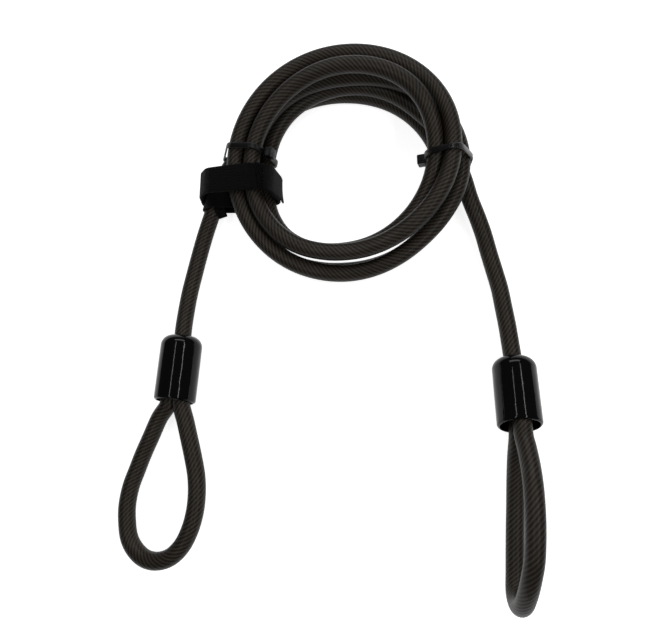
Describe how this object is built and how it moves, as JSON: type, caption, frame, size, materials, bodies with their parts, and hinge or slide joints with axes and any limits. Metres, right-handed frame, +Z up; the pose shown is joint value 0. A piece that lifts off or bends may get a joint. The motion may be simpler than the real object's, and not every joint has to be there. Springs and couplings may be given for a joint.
{
  "type": "cable lock",
  "caption": "Double-loop bicycle security cable: jacketed steel rope coiled and bundled with ties and a hook-and-loop strap, a boot and teardrop eye on each free end",
  "frame": {"origin": "middle of the bounding box in plan, on the surface the cable lies on", "axes": "+Y from the eyes towards the coil, +Z up, +X to the right of someone facing +Y"},
  "size_m": [0.2391, 0.318, 0.0535],
  "materials": {
    "smoke_vinyl": "smoke-tinted translucent vinyl over steel strands, glossy",
    "galvanised_rope": "galvanised stranded steel",
    "crimped_aluminium": "plain crimped sleeve",
    "gloss_black_boot": "glossy black moulded sleeve",
    "black_nylon": "black nylon tie",
    "hook_and_loop_tape": "matte black woven hook-and-loop tape"
  },
  "bodies": {
    "bundle": {"cable_coil": "smoke_vinyl", "left_tie": "black_nylon", "right_tie": "black_nylon", "strap_inner_turn": "hook_and_loop_tape", "strap_outer_turn": "hook_and_loop_tape"},
    "strap_end": {"strap_tab": "hook_and_loop_tape"},
    "left_end": {"left_lead_jacket": "smoke_vinyl", "left_rope": "galvanised_rope", "left_ferrule": "crimped_aluminium", "left_boot": "gloss_black_boot", "left_eye_jacket": "smoke_vinyl"},
    "right_end": {"right_lead_jacket": "smoke_vinyl", "right_rope": "galvanised_rope", "right_ferrule": "crimped_aluminium", "right_boot": "gloss_black_boot", "right_eye_jacket": "smoke_vinyl"}
  },
  "joints": [
    {"name": "left_swing", "type": "hinge", "parent": "bundle", "child": "left_end", "pos_m": [-0.0742, 0.0617, 0.0061], "axis": [0, 0, 1], "range_deg": [-15, 8]},
    {"name": "right_swing", "type": "hinge", "parent": "bundle", "child": "right_end", "pos_m": [0.0882, 0.0605, 0.0111], "axis": [0, 0, 1], "range_deg": [-8, 15]},
    {"name": "strap_peel", "type": "hinge", "parent": "bundle", "child": "strap_end", "pos_m": [-0.0412, 0.0782, 0.0341], "axis": [0, -1, 0], "range_deg": [0, 80]}
  ]
}
